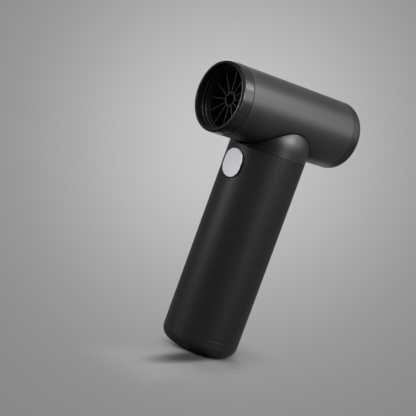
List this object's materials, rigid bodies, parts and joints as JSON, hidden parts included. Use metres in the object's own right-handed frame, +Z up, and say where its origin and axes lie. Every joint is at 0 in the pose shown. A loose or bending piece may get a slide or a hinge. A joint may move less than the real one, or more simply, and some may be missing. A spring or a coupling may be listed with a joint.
{
  "type": "car dryer blower",
  "caption": "Cordless hand blower: a ducted fan in a short round barrel across the top of a round battery handle, with a front trigger button.",
  "frame": {"origin": "centre of the flat foot, on the handle's axis", "axes": "+Z up along the handle, -Y out of the outlet along the barrel, +X to the side"},
  "size_m": [0.056, 0.1195, 0.2007],
  "materials": {
    "satin_shell": "satin dark-grey coating on a moulded tube",
    "collar_gloss": "polished dark grey, slightly warm",
    "neck_satin": "satin near-black coating",
    "handle_matte": "soft-touch matte black",
    "button_grey": "light grey satin moulding",
    "inner_black": "black glass-filled moulding",
    "frame_grey": "dark grey moulding",
    "tray_cream": "cream flame-retardant moulding",
    "steel": "bright steel",
    "lamination": "laminated electrical steel",
    "magnet": "nickel-plated sintered magnet",
    "alloy": "machined light alloy",
    "copper": "enamelled copper wire",
    "nickel": "nickel strip",
    "board_green": "circuit board with green mask",
    "chip_black": "moulded electronic package",
    "can_blue": "sleeved capacitor can",
    "cell_wrap": "cell in shrink sleeve; density stands for a 45 g cell",
    "lead_red": "silicone insulated lead",
    "rubber_grey": "soft silicone",
    "foot_rubber": "fine-grained black rubber",
    "clear": "clear light pipe"
  },
  "bodies": {
    "housing": {"outlet_collar": "collar_gloss", "flow_straightener": "inner_black", "barrel_shell": "satin_shell", "motor_duct": "inner_black", "damper_rings": "rubber_grey", "tail_cone": "inner_black", "motor_end_bell": "alloy", "stator_core": "lamination", "motor_windings": "copper", "motor_terminal_board": "board_green", "bearing_outer_rings": "steel", "bearing_balls": "steel", "motor_leads": "lead_red", "neck_dome": "neck_satin", "barrel_screws": "steel", "neck_screws": "steel", "handle_tube": "handle_matte", "handle_frame": "frame_grey", "button_guide": "frame_grey", "guide_screws": "steel", "switch_board": "board_green", "tactile_switch": "chip_black", "control_board": "board_green", "power_transistors": "chip_black", "controller_chip": "chip_black", "smoothing_capacitor": "can_blue", "battery_leads": "lead_red", "battery_cells": "cell_wrap", "nickel_strips": "nickel", "battery_tray_lower": "tray_cream", "battery_tray_upper": "tray_cream", "charge_board": "board_green", "charge_board_screws": "steel", "usb_socket": "steel", "usb_tongue": "chip_black", "charge_light_pipe": "clear", "charge_leads": "lead_red", "base_cap": "handle_matte", "foot_pad": "foot_rubber", "base_screws": "steel"},
    "rotor": {"bearing_inner_rings": "steel", "motor_shaft": "steel", "rotor_magnet": "magnet", "impeller": "alloy", "impeller_nut": "steel"},
    "button": {"button_cap": "button_grey", "switch_plunger": "button_grey"},
    "intake_cap": {"rear_cap": "satin_shell", "intake_grille": "alloy", "filter_mesh": "steel", "filter_ring": "inner_black"}
  },
  "joints": [
    {"name": "fan_spin", "type": "hinge", "parent": "housing", "child": "rotor", "pos_m": [0, 0.0285, 0.1757], "axis": [0, 1, 0], "continuous": true},
    {"name": "button_press", "type": "slide", "parent": "housing", "child": "button", "axis": [0, 1, 0], "range_m": [0, 0.001], "stiffness_N_per_m": 1800},
    {"name": "rear_cap_pull", "type": "slide", "parent": "housing", "child": "intake_cap", "axis": [0, 1, 0], "range_m": [0, 0.0083]}
  ]
}
